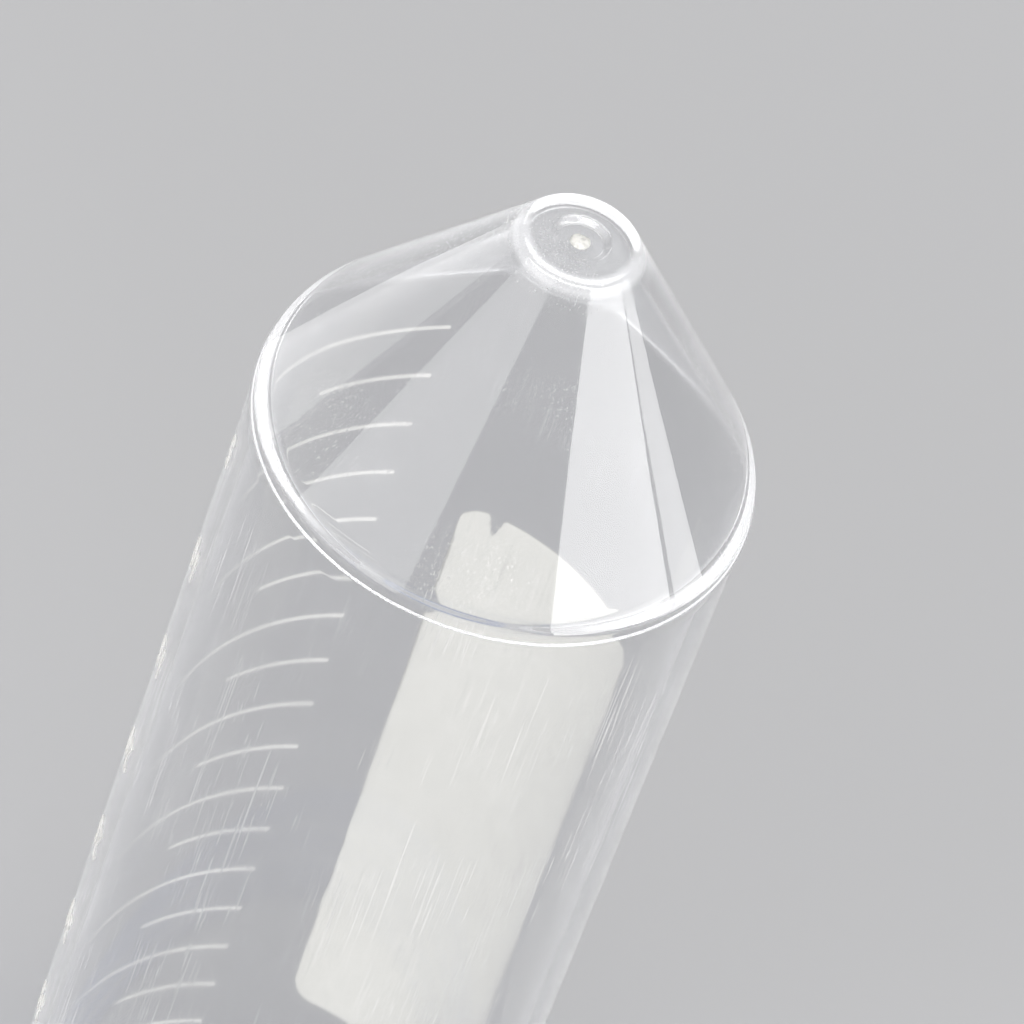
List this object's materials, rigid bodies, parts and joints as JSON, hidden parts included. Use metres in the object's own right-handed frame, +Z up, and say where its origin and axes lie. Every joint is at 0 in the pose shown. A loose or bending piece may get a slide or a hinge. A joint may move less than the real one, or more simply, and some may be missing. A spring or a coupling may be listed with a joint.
{
  "type": "graduated conical tube",
  "caption": "Translucent round tube with a conical end, printed volume marks and a white writing patch, standing on its ribbed screw cap with a loose sealing disc.",
  "frame": {"origin": "middle of the cap's flat outer face, on which the tube stands upside down", "axes": "+Z up along the tube's axis, from the cap to the tip of the cone; +X is a quarter turn from the writing patch's side; the view of the marks through the tube is from -Y"},
  "size_m": [0.035, 0.035, 0.115],
  "materials": {
    "tube_plastic": "natural polypropylene, clear to slightly milky, moulded gloss with fine scratches",
    "cap_plastic": "blue moulded polyethylene, satin",
    "liner_foam": "white closed-cell foam disc",
    "mark_ink": "white printed ink",
    "patch_ink": "white printed ink that takes pencil"
  },
  "bodies": {
    "cap": {"screw_cap": "cap_plastic"},
    "liner": {"cap_liner": "liner_foam"},
    "tube": {"tube": "tube_plastic", "long_marks": "mark_ink", "short_marks": "mark_ink", "writing_patch": "patch_ink"}
  },
  "joints": [
    {"name": "tube_turn", "type": "hinge", "parent": "cap", "child": "liner", "pos_m": [0, 0, 0.0015], "axis": [0, 0, 1], "range_deg": [0, 540]},
    {"name": "tube_lift", "type": "slide", "parent": "liner", "child": "tube", "axis": [0, 0, 1], "range_m": [0, 0.0108]}
  ],
  "couplings": [
    {"joint": "tube_lift", "follows": "tube_turn", "m_per_rad": 0.0011459}
  ]
}
